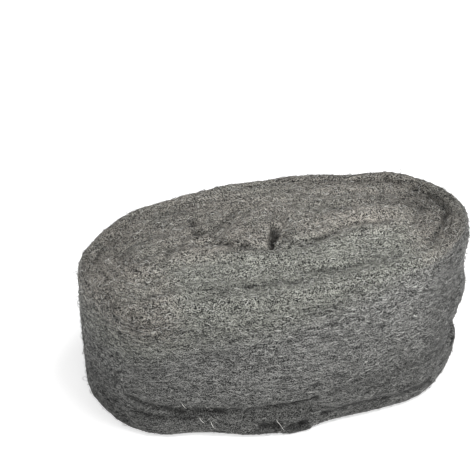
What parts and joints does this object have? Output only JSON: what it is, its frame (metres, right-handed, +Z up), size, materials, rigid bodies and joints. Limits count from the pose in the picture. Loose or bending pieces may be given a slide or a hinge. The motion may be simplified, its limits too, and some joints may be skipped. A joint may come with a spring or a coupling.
{
  "type": "steel wool pad",
  "caption": "Pad of fine grey steel wool: one long flat strip wound flat into an oval, with a folded inner end, standing on its edge.",
  "frame": {"origin": "on the floor, in the middle of the pad's footprint", "axes": "+Z up along the strip's width, +X along the pad's length, +Y across it"},
  "size_m": [0.1632, 0.0896, 0.0746],
  "materials": {
    "steel_wool": "fine tangled steel fibre, dull as a mass, with bright glints where single fibres catch the light"
  },
  "bodies": {
    "root": {"wool_roll": "steel_wool"}
  },
  "joints": []
}
